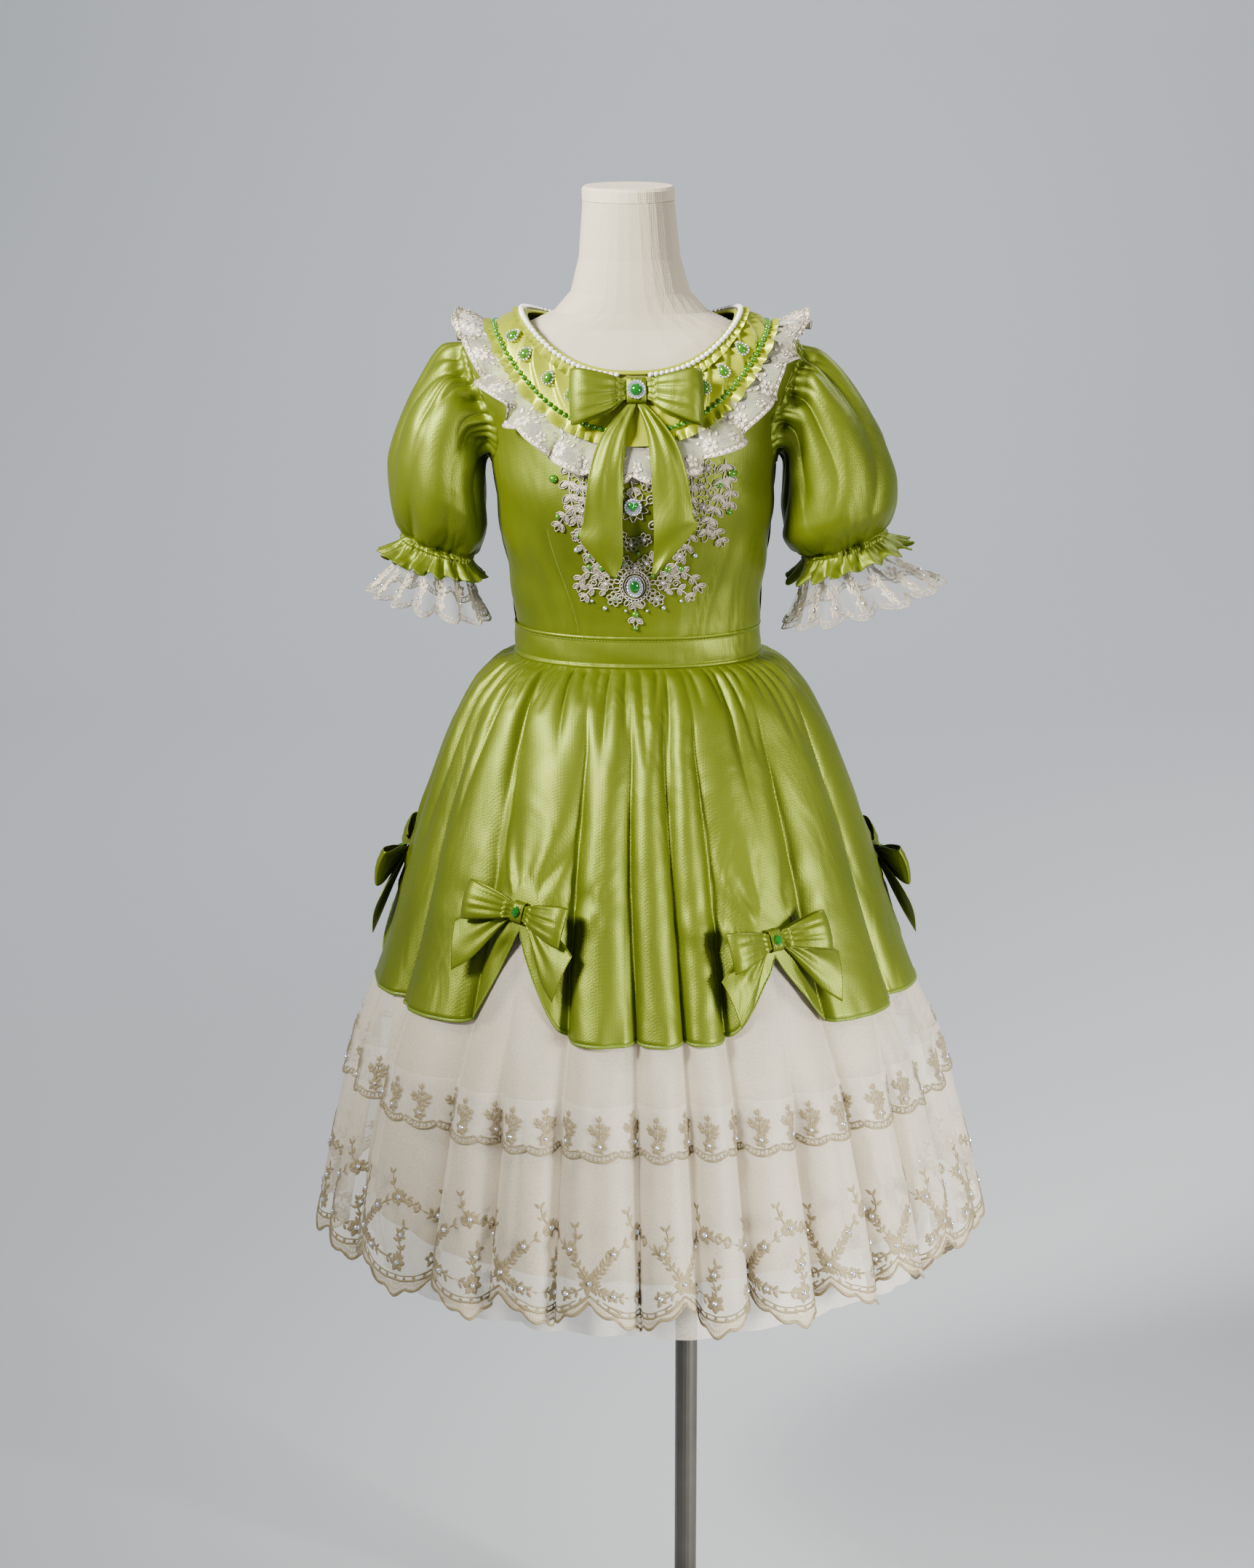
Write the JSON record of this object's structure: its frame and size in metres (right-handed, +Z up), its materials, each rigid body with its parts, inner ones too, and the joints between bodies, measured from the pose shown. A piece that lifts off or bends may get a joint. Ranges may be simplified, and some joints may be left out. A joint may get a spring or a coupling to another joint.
{
  "type": "party dress on a dress form",
  "caption": "Puff-sleeved satin party dress with a ruffled lace collar, bows and an embroidered lace underskirt, on a limbless dress form with a pole stand.",
  "frame": {"origin": "middle of the stand's foot, on the floor", "axes": "+Z up, -Y out of the dress's front, +X to a viewer's right who faces the front"},
  "size_m": [0.7375, 0.7282, 1.682],
  "materials": {
    "form_cover": "smooth linen cover",
    "neck_cap": "smooth woven cover",
    "stand_steel": "satin",
    "green_satin": "glossy satin",
    "lace": "embroidered organza",
    "cream_lining": "soft sheen",
    "tulle": "fine matte net",
    "green_glass": "faceted, foil backed",
    "zip_metal": "satin"
  },
  "bodies": {
    "root": {"applique_centre": "lace", "applique_left": "lace", "applique_right": "lace", "bodice_back_left": "green_satin", "bodice_back_right": "green_satin", "bodice_front": "green_satin", "bow_back_gem": "green_glass", "bow_back_knot": "green_satin", "bow_back_loops": "green_satin", "bow_back_tails": "green_satin", "bow_front_left_gem": "green_glass", "bow_front_left_knot": "green_satin", "bow_front_left_loops": "green_satin", "bow_front_left_tails": "green_satin", "bow_front_right_gem": "green_glass", "bow_front_right_knot": "green_satin", "bow_front_right_loops": "green_satin", "bow_front_right_tails": "green_satin", "bow_side_left_gem": "green_glass", "bow_side_left_knot": "green_satin", "bow_side_left_loops": "green_satin", "bow_side_left_tails": "green_satin", "bow_side_right_gem": "green_glass", "bow_side_right_knot": "green_satin", "bow_side_right_loops": "green_satin", "bow_side_right_tails": "green_satin", "collar_lace": "lace", "collar_yoke": "green_satin", "cuff_lace_left": "lace", "cuff_lace_right": "lace", "form_neck_cap": "neck_cap", "form_torso": "form_cover", "heart_gem": "green_glass", "lace_band": "lace", "lace_skirt": "lace", "lining": "cream_lining", "medallion": "green_glass", "neck_binding": "green_satin", "neck_bow_knot": "green_satin", "neck_bow_loops": "green_satin", "neck_bow_tail_left": "green_satin", "neck_bow_tail_right": "green_satin", "neck_brooch": "green_glass", "skirt_outer": "green_satin", "sleeve_left": "green_satin", "sleeve_right": "green_satin", "stand_collar": "stand_steel", "stand_foot": "stand_steel", "stand_pole": "stand_steel", "tulle_flounce": "tulle", "waistband": "green_satin", "zip_pull": "zip_metal"}
  },
  "joints": []
}
